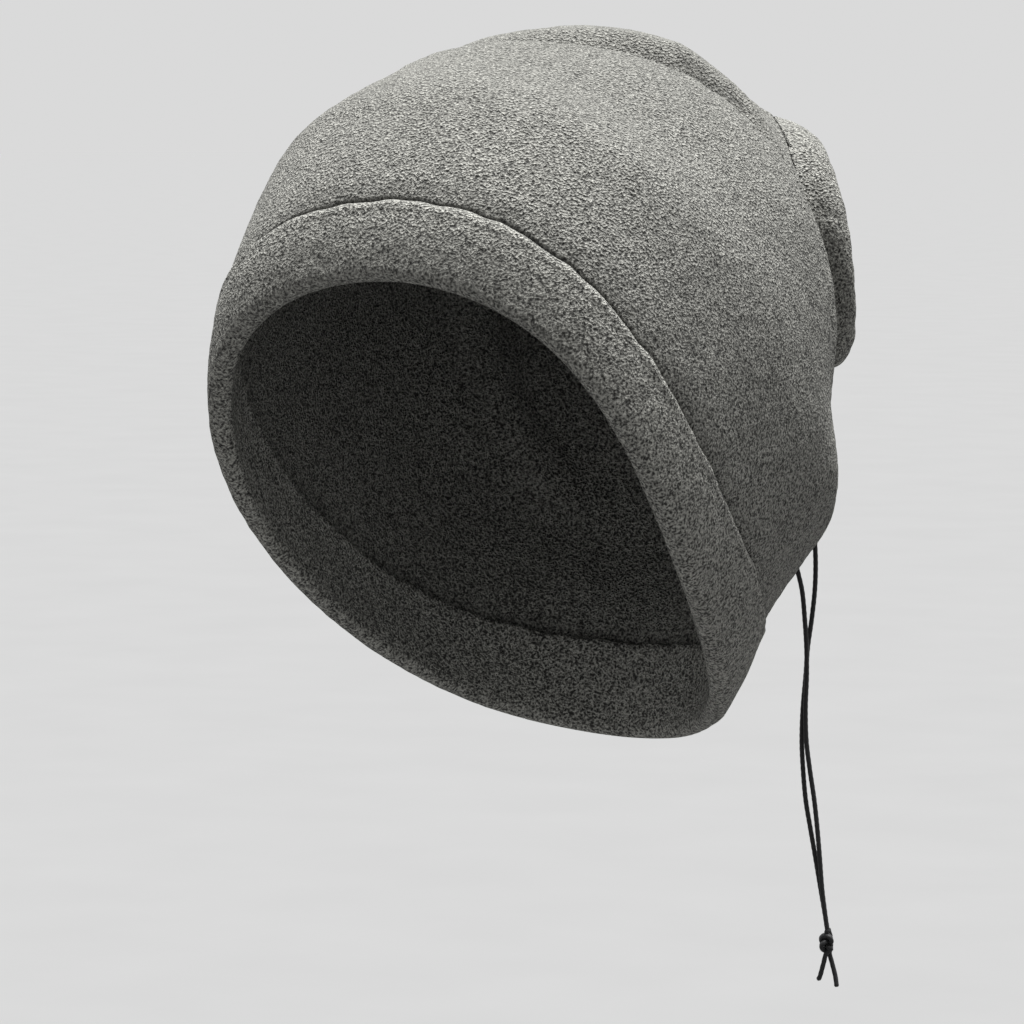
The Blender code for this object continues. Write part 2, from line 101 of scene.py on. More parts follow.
# Folds in the worn tube: width of the near and the far bank, then the valley's course as
# (angle, place, depth). Angles run from the top over the wearer's left side.
FOLDS = (
    (0.0085, 0.0125, ((-42, 0.47, 0.0), (-20, 0.48, 0.0025), (0, 0.497, 0.0056),
                      (12, 0.52, 0.0076), (24, 0.56, 0.008), (34, 0.588, 0.008),
                      (43, 0.62, 0.0066), (51, 0.645, 0.0048))),
    (0.017, 0.020, ((44, 0.64, 0.0035), (54, 0.66, 0.0052), (66, 0.668, 0.0056),
                    (77, 0.662, 0.0056), (90, 0.628, 0.0056), (100, 0.58, 0.0054),
                    (110, 0.5, 0.004), (119, 0.42, 0.0014), (128, 0.37, 0.0))),
    (0.020, 0.020, ((108, 0.27, 0.0), (120, 0.3, -0.0016), (132, 0.3, -0.0018),
                    (146, 0.28, 0.0))),
    (0.016, 0.016, ((2, 0.575, 0.0), (16, 0.59, -0.0012), (34, 0.65, -0.0018),
                    (48, 0.705, -0.0018), (60, 0.74, 0.0))),
    (0.012, 0.017, ((-165, 0.3, 0.0), (-142, 0.38, 0.003), (-118, 0.48, 0.0042),
                    (-96, 0.57, 0.004), (-76, 0.65, 0.0025), (-58, 0.69, 0.0))),
    (0.012, 0.014, ((-178, 0.52, 0.0), (-152, 0.6, 0.0035), (-126, 0.68, 0.004),
                    (-102, 0.76, 0.003), (-84, 0.8, 0.0))),
    (0.011, 0.013, ((128, 0.3, 0.0), (141, 0.37, 0.002), (154, 0.46, 0.0032),
                    (167, 0.56, 0.003), (179, 0.66, 0.0))),
)

# Gathered end: outline of the bunched hem as (radius, distance out from the seam plane), from
# the seam over the rim and the puckered face, down the centre hole and back along its lining
GATHER_OUTLINE = (
    (0.0382, 0.0001), (0.0382, 0.003), (0.038, 0.006), (0.0374, 0.0088), (0.036, 0.0113),
    (0.0333, 0.0129), (0.0295, 0.0136), (0.025, 0.0139), (0.02, 0.0138), (0.015, 0.0133),
    (0.0106, 0.0121), (0.0078, 0.0102), (0.0064, 0.0082), (0.0062, 0.006), (0.0074, 0.0035),
    (0.0105, 0.0016), (0.0165, 0.001), (0.024, 0.001), (0.029, 0.001), (0.0336, 0.001),
)
PLEAT_SHARES = (0.0, 0.1, 0.22, 0.34, 0.46, 0.56, 0.64, 0.74, 1.0)
PLEAT_DEPTHS = (0.0012, 0.0016, 0.0024, 0.0044, 0.0052, 0.0036, 0.0014, 0.0005, 0.0003)
PLEATS = 17
SMOOTHEST = 0.1
GATHER_RADIUS = 0.0382
GATHER_DEPTH = 0.013
GATHER_MIDDLE = 0.006

# How far the gather has sunk: its rim at the top, the share of that at its seam, its rim below and how
# flat its left side is. Then the bag at its lower left: its angle and width, the angle where it starts
# to fade and over how many degrees, its size, and how far that goes sideways and down.
DROOP_TOP = 0.0092
DROOP_AT_SEAM = 0.20
DROOP_UNDER = 0.0038
FLATTENED = 0.22
BAG_ANGLE = 163.0
BAG_WIDTH = 29.0
BAG_END = 178.0
BAG_FADE = 13.0
BAG_SHARE = 0.17
BAG_SIDEWAYS = 0.5
BAG_DOWN = 0.87

# Drawstring: where it leaves the gather, and its loop inside
EYELET_OUT = 0.0056
EYELET_ANGLES = (197.0, 219.0)
EYELET_SEAT = 0.0362
CORD_RING_RADIUS = 0.019
CORD_RING_OUT = 0.0074

# Cord: one thin round elastic braid. Its places are (sideways, back, height) along HANG_TURN, and
# the course below the lock is (height, left cord sideways, right cord sideways, distance of each
# behind and before the cords' middle).
CORD_DIAMETER = 0.0015
CORD_STEP = 0.0004
BRAID_LAY = 0.0042
HANG_TURN = 33.0
LOCK_CENTRE = (0.0894, 0.10315, -0.036)
LOCK_SPACING = 0.003
LOCK_CORD_OFFSET = 0.0004
LOCK_PATH_LEAN = 0.0504
STRAIGHT_ABOVE = (0.0205, 0.016, 0.010, 0.004)
STRAIGHT_BELOW = (-0.004, -0.0085)
CORD_COURSE = (
    (-0.051, 0.0928, 0.0863, 0.00025), (-0.058, 0.0931, 0.0870, 0.00065), (-0.066, 0.0929, 0.0888, 0.0008),
    (-0.075, 0.0920, 0.0897, 0.0008), (-0.084, 0.0908, 0.0903, 0.0008), (-0.093, 0.0902, 0.0904, 0.0008),
    (-0.103, 0.0894, 0.0901, 0.0008), (-0.113, 0.0891, 0.0904, 0.0008), (-0.122, 0.0895, 0.0915, 0.0008),
    (-0.132, 0.0904, 0.0930, 0.0008), (-0.141, 0.0919, 0.0940, 0.0008), (-0.150, 0.0935, 0.0948, 0.0008),
    (-0.160, 0.0952, 0.0956, 0.0008), (-0.168, 0.0966, 0.0966, 0.0008), (-0.173, 0.0974, 0.0973, 0.0008),
)
KNOT_CENTRE = (0.0976, 0.10355, -0.1775)

# Cord lock, along its press axis from the closed end to the button
BARREL_RADIUS = 0.0075
BARREL_BORE = 0.0057
BARREL_BACK = -0.0135
BARREL_FLOOR = -0.0113
BARREL_MOUTH = 0.0055
PLUNGER_RADIUS = 0.00535
PLUNGER_INNER = -0.0036
CAP_RADIUS = 0.0066
CAP_OUT = (0.009, 0.0122)
HOLE_RADIUS = 0.0017
HOLE_REACH = 0.0043
SLOT = (-0.0016, 0.0049)
SPRING_RADIUS = 0.0036
SPRING_WIRE = 0.00028
SPRING_TURNS = 5

# Studio: floor height, brightness of the surroundings, and the overhead light's strength, the
# angle it spreads over and the direction it comes from
FLOOR_HEIGHT = -0.42
SURROUNDINGS = 0.7
OVERHEAD_LIGHT = 17.5
OVERHEAD_SPREAD = 40.0
OVERHEAD_FROM = (0.0, 0.11, 0.99)


# ---- worn surface

def monotone(xs, ys, x):
    """Smooth curve through (xs, ys) that never overshoots them, read at x."""
    h = np.diff(xs)
    d = np.diff(ys, axis=0) / h[:, None]
    m = np.zeros_like(ys)
    w1 = (2 * h[1:] + h[:-1])[:, None]
    w2 = (h[1:] + 2 * h[:-1])[:, None]
    same = d[:-1] * d[1:] > 0
    safe0 = np.where(same, d[:-1], 1.0)
    safe1 = np.where(same, d[1:], 1.0)
    m[1:-1] = np.where(same, (w1 + w2) / (w1 / safe0 + w2 / safe1), 0.0)
    m[0] = d[0]
    m[-1] = d[-1]
    k = np.clip(np.searchsorted(xs, x, side="right") - 1, 0, len(h) - 1)
    t = ((x - xs[k]) / h[k])[:, None]
    hk = h[k][:, None]
    a = (1 + 2 * t) * (1 - t) ** 2 * ys[k] + t * (1 - t) ** 2 * hk * m[k]
    b = t * t * (3 - 2 * t) * ys[k + 1] + t * t * (t - 1) * hk * m[k + 1]
    return a + b


def axes(turn, lean):
    """Along, side and rise directions of a section whose axis is turned and leaned (radians)."""
    along = np.stack([np.sin(turn) * np.cos(lean), np.cos(turn) * np.cos(lean), np.sin(lean)], -1)
    side = np.stack([np.cos(turn), -np.sin(turn), 0 * turn], -1)
    return along, side, np.cross(side, along)


def fabric(place, angle):
    """Outer surface at each place (n,) and angle (n, m) in radians, as (n, m, 3).

    The angle runs from the top (0) over the wearer's left side (90) to the underside (180).
    """
    s = monotone(SECTIONS[:, 0], SECTIONS[:, 1:], np.asarray(place, float))
    along, side, rise = axes(np.radians(s[:, 3]), np.radians(s[:, 4]))
    sin = np.sin(angle)
    cos = np.cos(angle)
    square = s[:, 9:10]
    x = s[:, 5:6] * (sin + square * np.sin(3 * angle)) / (1 - square) * (1 + s[:, 8:9] * cos)
    y = np.where(cos > 0, s[:, 6:7], s[:, 7:8]) * (cos - square * np.cos(3 * angle)) / (1 - square)
    bow = s[:, 10:11] * np.cos(2 * angle)
    flat = s[:, None, 0:3] + x[..., None] * side[:, None] + y[..., None] * rise[:, None]
    return flat + bow[..., None] * along[:, None]


def ring_radius(place):
    """Mean radius of the worn tube at each place."""
    return monotone(SECTIONS[:, 0], SECTIONS[:, 6:9], np.asarray(place, float)).mean(1)


def seam_angle(place):
    """The back seam runs from the nape and drifts round as the tube twists towards the gather."""
    t = np.clip(np.asarray(place, float), 0, 1)
    return np.pi + math.radians(SEAM_TWIST) * t * t * (3 - 2 * t)


def gather_frame():
    """Centre of the gather's seam, and its along, side and rise directions."""
    last = SECTIONS[-1]
    return last[1:4], *axes(np.radians(last[4]), np.radians(last[5]))


def spokes(angle):
    """Unit directions away from the gather's axis at each angle (...,), as (..., 3)."""
    _, _, side, rise = gather_frame()
    return np.cos(angle)[..., None] * rise + np.sin(angle)[..., None] * side


def gather_point(angle_deg, radius, out):
    """Point of the gather at an angle round its axis, a radius and a distance out."""
    centre, along, side, rise = gather_frame()
    a = math.radians(angle_deg)
    return centre + out * along + radius * (math.cos(a) * rise + math.sin(a) * side)


def hang_point(sideways, back, height):
    """Point given along the directions the cords and their lock hang in."""
    a = math.radians(HANG_TURN)
    x = math.cos(a) * sideways - math.sin(a) * back
    y = math.sin(a) * sideways + math.cos(a) * back
    return np.array([x, y, height])


def smooth(t):
    """Eased step from 0 to 1."""
    t = np.clip(t, 0, 1)
    return t * t * (3 - 2 * t)


def even_angles(count):
    return np.arange(count) * 2 * np.pi / count


def wrapped(degrees):
    """Angle brought between -180 and 180 degrees."""
    return (degrees + 180.0) % 360.0 - 180.0


def fold_depth(place, angle, near, far, course):
    """How deep one fold presses the fabric in, at each place (n,) and angle (n, m) in degrees."""
    radius = ring_radius(place)[:, None]
    row = np.asarray(place, float)[:, None]
    nearest = np.full(angle.shape, 1e9)
    side = np.zeros(angle.shape)
    depth = np.zeros(angle.shape)
    for (a0, p0, d0), (a1, p1, d1) in zip(course, course[1:]):
        run_x = math.radians(a1 - a0) * radius
        run_y = (p1 - p0) * TUBE_LENGTH
        x = np.radians(wrapped(angle - a0)) * radius
        y = (row - p0) * TUBE_LENGTH
        t = np.clip((x * run_x + y * run_y) / (run_x ** 2 + run_y ** 2), 0, 1)
        gap_x = x - t * run_x
        gap_y = y - t * run_y
        gap = np.hypot(gap_x, gap_y)
        closer = gap < nearest
        nearest = np.where(closer, gap, nearest)
        side = np.where(closer, run_x * gap_y - run_y * gap_x, side)
        depth = np.where(closer, d0 + (d1 - d0) * smooth(t), depth)
    width = np.where(side > 0, far, near)
    return depth * np.cos(np.pi / 2 * np.clip(nearest / width, 0, 1)) ** 2


def folds(place, angle):
    """Displacement of the fabric by its folds, inwards negative."""
    degrees = np.degrees(angle)
    return -sum(fold_depth(place, degrees, *fold) for fold in FOLDS)


def pleat_height(angle):
    """Uneven pleats round the gather: 0 in a valley, 1 on a ridge."""
    phase = (PLEATS * angle + 1.1 * np.sin(2 * angle + 0.6) + 0.8 * np.sin(3 * angle + 2.1)
             + 0.5 * np.sin(5 * angle + 4.0))
    return (0.5 + 0.5 * np.cos(phase)) ** 0.6


def pleat_share(angle):
    """Pleats are shallow where the fabric is pulled smooth on the wearer's left."""
    off = np.abs(wrapped(np.degrees(angle) - 75.0))
    return SMOOTHEST + (1 - SMOOTHEST) * smooth((off - 55.0) / 45.0)


def bell(value, centre, width):
    """Smooth bump of height 1 round a centre."""
    return np.exp(-((value - centre) / width) ** 2)


def slump(angle, out, radius):
    """How far the gather has sunk from a true round, at an angle, distance out and radius.

    It hangs lower the further out it is, its left side is flattened, and the fabric bags out at
    the lower left corner of its seam.
    """
    _, _, side, rise = gather_frame()
    degrees = np.degrees(angle)
    top = 0.5 + 0.5 * np.cos(angle)
    upper = DROOP_AT_SEAM + (1 - DROOP_AT_SEAM) * np.clip(out / GATHER_DEPTH, 0, 1)
    outer_half = smooth((out - GATHER_MIDDLE) / (GATHER_DEPTH - GATHER_MIDDLE))
    down = DROOP_TOP * top * upper + DROOP_UNDER * (1 - top) * outer_half
    inward = FLATTENED * radius * np.maximum(np.sin(angle), 0)
    bag = BAG_SHARE * radius * bell(degrees, BAG_ANGLE, BAG_WIDTH) * (1 - outer_half)
    bag = bag * (1 - smooth((degrees - BAG_END) / BAG_FADE))
    across = (bag * BAG_SIDEWAYS - inward)[..., None] * side
    return across - (down + bag * BAG_DOWN)[..., None] * rise


def seam_wander(angle):
    """Small wander of the sewn band seam along the tube."""
    return (0.00020 * np.sin(17 * angle + 1.3) + 0.00018 * np.sin(31 * angle + 0.4)
            + 0.00013 * np.sin(47 * angle + 2.2) + 0.00007 * np.sin(67 * angle + 0.9))


def unit(vectors):
    """Vectors (..., 3) brought to a length of 1."""
    return vectors / np.maximum(np.linalg.norm(vectors, axis=-1, keepdims=True), 1e-12)


def run_of(grid):
    """Unit directions along a grid of rings (n, m, 3), from its first ring to its last."""
    return unit(np.gradient(grid, axis=0))


def normals(grid):
    """Outward unit normals of a grid of closed rings (n, m, 3)."""
    around = np.roll(grid, -1, axis=1) - np.roll(grid, 1, axis=1)
    normal = unit(np.cross(around, np.gradient(grid, axis=0)))
    if ((grid - grid.mean(axis=1, keepdims=True)) * normal).sum() < 0:
        normal = -normal
    return normal


def distances(route):
    """Distance along a route (n, k) from its first point to each point."""
    return np.concatenate([[0], np.cumsum(np.linalg.norm(np.diff(route, axis=0), axis=1))])


def read_at(at, run, values):
    """Values (n, 3) given at distances run, read at other distances."""
    return np.stack([np.interp(at, run, values[:, k]) for k in range(3)], -1)


def grain(points, size, depth, seed=0.0):
    """Smooth random height at each point, of a feature size and depth."""
    flat = points.reshape(-1, 3) / size + seed
    heights = [noise.noise(Vector(p)) for p in flat]
    return np.array(heights).reshape(points.shape[:-1]) * depth


def pile(points):
    """Height of the brushed pile, as small tufts over a slightly uneven cloth."""
    return (grain(points, 0.0026, 0.00016) + grain(points, 0.0052, 0.00018, 7.3)
            + grain(points, 0.022, 0.0004, 3.1))


def hem_valley(distance, angle):
    """Dip on either side of the gather's seam: a soft valley where the fabric is smooth."""
    pulled = (1 - pleat_share(angle)) / (1 - SMOOTHEST)
    soft = (0.0012 + 0.0020 * bell(np.degrees(angle), 30.0, 32.0)) * bell(distance, 0.0, 0.0065)
    return pulled * soft + (1 - pulled) * rolled(distance, 0.0016) * 0.8


def rounded_off(distance, width, depth):
    """Depth of a soft edge, from full at the edge to none at a width in from it."""
    t = np.clip(1 - distance / width, 0, 1)
    return depth * (1 - np.sqrt(np.maximum(1 - 0.96 * t * t, 0))) / 0.8


def rolled(distance, radius):
    """How far an edge has rolled down at a distance from it."""
    short = np.clip(radius - distance, 0, radius)
    return radius - np.sqrt(np.maximum(radius ** 2 - short ** 2, 0))


# ---- mesh helpers

def mesh_object(name, points, faces, mat):
    """Mesh object with its faces pointing outwards."""
    mesh = bpy.data.meshes.new(name)
    mesh.from_pydata([tuple(p) for p in points], [], faces)
    bm = bmesh.new()
    bm.from_mesh(mesh)
    bmesh.ops.remove_doubles(bm, verts=bm.verts, dist=1e-7)
    bmesh.ops.recalc_face_normals(bm, faces=bm.faces)
    bm.to_mesh(mesh)
    bm.free()
    mesh.shade_smooth()
    mesh.materials.append(mat)
    obj = bpy.data.objects.new(name, mesh)
    bpy.context.scene.collection.objects.link(obj)
    return obj


def quads(rows, columns, closed_rows, start=0):
    """Quads of a grid whose columns close round; closed_rows also joins the last row to the first."""
    faces = []
    for i in range(rows if closed_rows else rows - 1):
        this = start + i * columns
        after = start + (i + 1) % rows * columns
        for j in range(columns):
            k = (j + 1) % columns
            faces.append((this + j, this + k, after + k, after + j))
    return faces


def two_sided(name, outer, inner, mat):
    """Closed shell between an outer grid and an inner grid with half as many columns."""
    rows, columns = outer.shape[:2]
    inner_rows, half = inner.shape[:2]
    start = rows * columns
    faces = quads(rows, columns, False) + quads(inner_rows, half, False, start)
    for outer_row, inner_row in ((0, 0), (rows - 1, inner_rows - 1)):
        a = outer_row * columns
        b = start + inner_row * half
        for j in range(half):
            k = (j + 1) % half
            middle = a + 2 * j + 1
            faces.append((a + 2 * j, middle, b + j))
            faces.append((middle, b + k, b + j))
            faces.append((middle, a + (2 * j + 2) % columns, b + k))
    points = np.vstack([outer.reshape(-1, 3), inner.reshape(-1, 3)])
    return mesh_object(name, points, faces, mat)


def sweep(route, radius, sides, relief=None):
    """Rings of a round tube along route (n, 3); relief(ring run, angle) scales the radius."""
    tangent = run_of(route)
    run = distances(route)
    turn = even_angles(sides)
    up = np.array([0.3, 0.9, 0.2])
    rings = []
    for i, point in enumerate(route):
        up = unit(up - up.dot(tangent[i]) * tangent[i])
        side = np.cross(tangent[i], up)
        size = radius if relief is None else radius * relief(run[i], turn)
        size = np.broadcast_to(size, turn.shape)[:, None]
        rings.append(point + size * (np.cos(turn)[:, None] * up + np.sin(turn)[:, None] * side))
    return np.array(rings)


def tube_parts(route, radius, sides, relief=None, start=0):
    """Points and faces of a tube with rounded ends."""
    rings = sweep(route, radius, sides, relief)
    middle = rings.mean(axis=1)
    caps = []
    for end, inside in ((0, 1), (-1, -2)):
        away = unit(middle[end] - middle[inside])
        caps.append([middle[end] + (rings[end] - middle[end]) * size + away * radius * push
                     for size, push in ((0.8, 0.4), (0.45, 0.62))])
    grid = np.concatenate([caps[0][::-1], rings, caps[1]])
    rows = len(grid)
    faces = quads(rows, sides, False, start)
    faces.append(tuple(start + j for j in range(sides)))
    faces.append(tuple(start + (rows - 1) * sides + j for j in range(sides)))
    return grid.reshape(-1, 3), faces


def joined(name, pieces, mat):
    """One mesh object of several tubes, given as (route, radius, sides, relief)."""
    points, faces = [], []
    for route, radius, sides, relief in pieces:
        start = sum(len(p) for p in points)
        some, more = tube_parts(route, radius, sides, relief, start)
        points.append(some)
        faces += more
    return mesh_object(name, np.vstack(points), faces, mat)


def smooth_route(points, spacing):
    """Evenly spaced points on the smooth curve through the route points (n, 3)."""
    pts = np.array(points, float)
    ends = np.vstack([2 * pts[0] - pts[1], pts, 2 * pts[-1] - pts[-2]])
    fine = []
    for i in range(1, len(ends) - 2):
        p0, p1, p2, p3 = ends[i - 1:i + 3]
        for t in np.linspace(0, 1, 24, endpoint=False):
            fine.append(0.5 * (2 * p1 + (p2 - p0) * t + (2 * p0 - 5 * p1 + 4 * p2 - p3) * t * t
                               + (3 * p1 - p0 - 3 * p2 + p3) * t ** 3))
    fine.append(pts[-1])
    fine = np.array(fine)
    run = distances(fine)
    at = np.linspace(0, run[-1], max(2, round(run[-1] / spacing) + 1))
    return read_at(at, run, fine)


def frame_matrix(origin, z_axis, x_hint):
    """Matrix whose local Z lies along z_axis, at origin."""
    z = Vector(z_axis).normalized()
    x = (Vector(x_hint) - Vector(x_hint).dot(z) * z).normalized()
    y = z.cross(x)
    rot = Matrix((x, y, z)).transposed().to_4x4()
    return Matrix.Translation(Vector(origin)) @ rot


def lathe(name, profile, steps, mat, matrix, on_axis):
    """Turned body of a profile of (radius, height) about local Z; on_axis closes it by its ends."""
    turn = even_angles(steps)
    profile = np.array(profile, float)
    grid = np.stack([profile[:, :1] * np.cos(turn), profile[:, :1] * np.sin(turn),
                     np.repeat(profile[:, 1:], steps, axis=1)], -1)
    if on_axis:
        faces = quads(len(profile), steps, False)
        faces.append(tuple(range(steps)))
        faces.append(tuple((len(profile) - 1) * steps + j for j in range(steps)))
    else:
        faces = quads(len(profile), steps, True)
    obj = mesh_object(name, grid.reshape(-1, 3), faces, mat)
    obj.data.transform(matrix)
    return obj


def rounded(profile, radius, steps=4):
    """Profile with each inner corner replaced by a short arc."""
    points = [np.array(p, float) for p in profile]
    out = [points[0]]
    for before, corner, after in zip(points, points[1:], points[2:]):
        a = before - corner
        b = after - corner
        reach = min(radius, 0.45 * np.linalg.norm(a), 0.45 * np.linalg.norm(b))
        start = corner + unit(a) * reach
        end = corner + unit(b) * reach
        for t in np.linspace(0, 1, steps):
            out.append((1 - t) ** 2 * start + 2 * t * (1 - t) * corner + t * t * end)
    out.append(points[-1])
    return np.array(out)


def cut(obj, cutter):
    """Boolean difference, applied; the cutter is removed."""
    mod = obj.modifiers.new("cut", "BOOLEAN")
    mod.operation = "DIFFERENCE"
    mod.object = cutter
    mod.solver = "MANIFOLD"
    bpy.context.view_layer.update()
    graph = bpy.context.evaluated_depsgraph_get()
    mesh = bpy.data.meshes.new_from_object(obj.evaluated_get(graph))
    obj.modifiers.clear()
    obj.data = mesh
    bpy.data.objects.remove(cutter, do_unlink=True)


# ---- materials

class Nodes:
    """Short calls for building one node material."""

    def __init__(self, name):
        self.mat = bpy.data.materials.new(name)
        self.mat.use_nodes = True
        self.tree = self.mat.node_tree
        self.shader = self.tree.nodes["Principled BSDF"]
        self.place = self.tree.nodes.new("ShaderNodeTexCoord").outputs["Object"]

    def link(self, source, target):
        self.tree.links.new(source, target)

    def node(self, kind, **inputs):
        """A new node, each input set to a number or linked to another node's output."""
        node = self.tree.nodes.new("ShaderNode" + kind)
        for name, value in inputs.items():
            socket = node.inputs[name.replace("_", " ")]
            if isinstance(value, (int, float)):
                socket.default_value = value
            else:
                self.link(value, socket)
        return node

    def noise(self, scale, detail=2.0, roughness=0.5, distortion=0.0):
        node = self.node("TexNoise", Vector=self.place, Scale=scale, Detail=detail,
                         Roughness=roughness, Distortion=distortion)
        return node.outputs["Fac"]

    def cells(self, scale, smoothness):
        node = self.node("TexVoronoi", Vector=self.place, Scale=scale)
        node.feature = "SMOOTH_F1"
        node.inputs["Smoothness"].default_value = smoothness
        return node.outputs["Distance"]

    def math(self, operation, a, b=0.0):
        node = self.tree.nodes.new("ShaderNodeMath")
        node.operation = operation
        for socket, value in zip(node.inputs, (a, b)):
            if isinstance(value, (int, float)):
                socket.default_value = value
            else:
                self.link(value, socket)
        return node.outputs[0]

    def height(self):
        return self.node("SeparateXYZ", Vector=self.place).outputs["Z"]

    def spread(self, value, low, high, to_low, to_high):
        node = self.node("MapRange", Value=value, From_Min=low, From_Max=high,
                         To_Min=to_low, To_Max=to_high)
        return node.outputs["Result"]

    def ramp(self, value, stops):
        node = self.tree.nodes.new("ShaderNodeValToRGB")
        ramp = node.color_ramp
        while len(ramp.elements) < len(stops):
            ramp.elements.new(0.5)
        for element, (position, colour) in zip(ramp.elements, stops):
            element.position = position
            element.color = (*colour, 1.0)
        self.link(value, node.inputs["Fac"])
        return node.outputs["Color"]

    def tinted(self, colour, factor):
        """A colour scaled by a number from nodes."""
        node = self.tree.nodes.new("ShaderNodeVectorMath")
        node.operation = "SCALE"
        self.link(colour, node.inputs[0])
        self.link(factor, node.inputs["Scale"])
        return node.outputs[0]

    def bump(self, height, distance, strength=1.0):
        node = self.node("Bump", Height=height, Distance=distance, Strength=strength)
        self.link(node.outputs["Normal"], self.shader.inputs["Normal"])

    def colour(self, colour):
        self.link(colour, self.shader.inputs["Base Color"])

    def rough(self, value, least, most):
        """Roughness from least to most as a noise value goes up."""
        self.link(self.spread(value, 0.3, 0.7, least, most), self.shader.inputs["Roughness"])

    def set(self, **values):
        for name, value in values.items():
            self.shader.inputs[name.replace("_", " ")].default_value = value


def grey(value):
    return (value, value, value)


def stone(value):
    """Grey with a slight olive cast."""
    return (value, value * 0.992, value * 0.91)


def fleece(name, level):
    """Brushed polar fleece: curly tufts under 1 mm across, with painted shade in the hollows between them
    and painted light on their tips.
    """
    n = Nodes(name)
    wander = n.noise(760.0, 1.5, 0.5, 0.35)
    worm = n.math("ABSOLUTE", n.math("SUBTRACT", wander, 0.5))
    curls = n.noise(1500.0, 1.5, 0.55)
    tufts = n.cells(1150.0, 0.6)
    height = n.math("SUBTRACT", n.math("MULTIPLY", curls, 1.35), n.math("MULTIPLY", tufts, 0.45))
    height = n.math("SUBTRACT", n.math("ADD", height, 0.12), n.math("MULTIPLY", worm, 1.5))
    # Painted shade and light in the pile are stronger lower on the hat and weaker on top, where the
    # overhead light falls flat on it.
    painted_shade_strength = n.spread(n.height(), -0.02, 0.10, 1.7, 0.75)
    shown = n.math("ADD", n.math("MULTIPLY", n.math("SUBTRACT", height, 0.44), painted_shade_strength), 0.44)
    # The colour follows the pile's height: painted shade darkens the hollows between the tufts and painted
    # light brightens their tips.
    colour = n.ramp(shown, ((0.04, stone(level * 0.15)), (0.28, stone(level * 0.58)),
                            (0.46, stone(level)), (0.80, stone(level * 2.0))))
    patches = n.spread(n.noise(38.0, 3.0, 0.6), 0.3, 0.7, 0.94, 1.05)
    n.colour(n.tinted(colour, patches))
    n.rough(curls, 0.86, 0.98)
    n.bump(height, 0.0019)
    n.set(Sheen_Weight=0.08, Sheen_Roughness=0.45, Specular_IOR_Level=0.1)
    n.set(Sheen_Tint=(0.9, 0.9, 0.86, 1.0))
    return n.mat


def speckled(name, pattern, colours, roughness, relief=None, **values):
    """Plain material whose colour and roughness vary with one noise, with a fine noise as relief."""
    n = Nodes(name)
    value = n.noise(*pattern)
    n.colour(n.ramp(value, colours))
    n.rough(value, *roughness)
    if relief:
        n.bump(n.noise(*relief[0]), *relief[1:])
    n.set(**values)
    return n.mat


def thread(name, level):
    """Spun polyester sewing thread."""
    twist = (2600.0, 2.0, 0.6, 0.4)
    colours = ((0.3, grey(level * 0.6)), (0.7, grey(level * 1.4)))
    return speckled(name, twist, colours, (0.5, 0.75), (twist, 0.00012, 0.6),
                    Sheen_Weight=0.2, Sheen_Roughness=0.4)


def braid(name):
    """Black elastic braid, matt, with paler crowns where its strands cross over."""
    n = Nodes(name)
    fibre = n.noise(3200.0, 3.0, 0.65, 0.5)
    patches = n.noise(160.0, 2.0)
    colour = n.ramp(fibre, ((0.3, (0.0025, 0.0025, 0.0028)), (0.7, (0.010, 0.010, 0.0105))))
    n.colour(n.tinted(colour, n.spread(patches, 0.3, 0.7, 0.8, 1.25)))
    n.rough(fibre, 0.55, 0.8)
    n.bump(fibre, 0.00008, 0.7)
    n.set(Sheen_Weight=0.04, Sheen_Roughness=0.5, Specular_IOR_Level=0.25)
    return n.mat


def moulded(name, level, roughness):
    """Moulded black plastic with a fine spark texture."""
    colours = ((0.3, grey(level * 0.8)), (0.75, grey(level * 1.35)))
    return speckled(name, (120.0, 4.0, 0.6), colours, (roughness - 0.06, roughness + 0.08),
                    ((2400.0, 2.0, 0.5), 0.00003, 0.6))


def lacquered(name):
    """Black lacquered brass, rubbed a little on its crown."""
    colours = ((0.35, (0.012, 0.012, 0.013)), (0.8, (0.05, 0.048, 0.045)))
    return speckled(name, (420.0, 4.0, 0.65), colours, (0.26, 0.42), ((1800.0,), 0.00002, 0.5),
                    Metallic=0.85)


def drawn_wire(name):
    """Bright drawn spring wire."""
    colours = ((0.3, (0.42, 0.42, 0.43)), (0.7, (0.62, 0.62, 0.63)))
    return speckled(name, (1500.0, 3.0, 0.6), colours, (0.22, 0.36), Metallic=1.0)


def matt_floor(name):
    """Even floor that meets the surroundings without a line."""
    n = Nodes(name)
    n.colour(n.ramp(n.noise(9.0, 3.0), ((0.3, grey(0.1107)), (0.7, grey(0.1137)))))
    n.set(Roughness=0.95, Specular_IOR_Level=0.0)
    return n.mat


# ---- camera, light and floor

def make_camera():
    """Camera at the photograph's viewing angle."""
    a = math.radians(CAMERA_AZIMUTH)
    e = math.radians(CAMERA_ELEVATION)
    right = Vector((math.cos(a), math.sin(a), 0.0))
    back = Vector((math.sin(a) * math.cos(e), -math.cos(a) * math.cos(e), math.sin(e)))
    up = back.cross(right)
    data = bpy.data.cameras.new("camera")
    data.sensor_width = SENSOR_WIDTH
    data.lens = SENSOR_WIDTH * PIXELS_PER_METRE * CAMERA_DISTANCE / IMAGE_SIDE
    data.clip_start = 0.01
    data.clip_end = 200.0
    camera = bpy.data.objects.new("camera", data)
    place = right * AIM_ASIDE + up * AIM_RAISED + back * CAMERA_DISTANCE
    camera.matrix_world = Matrix.Translation(place) @ Matrix((right, up, back)).transposed().to_4x4()
    bpy.context.scene.collection.objects.link(camera)
    bpy.context.scene.camera = camera


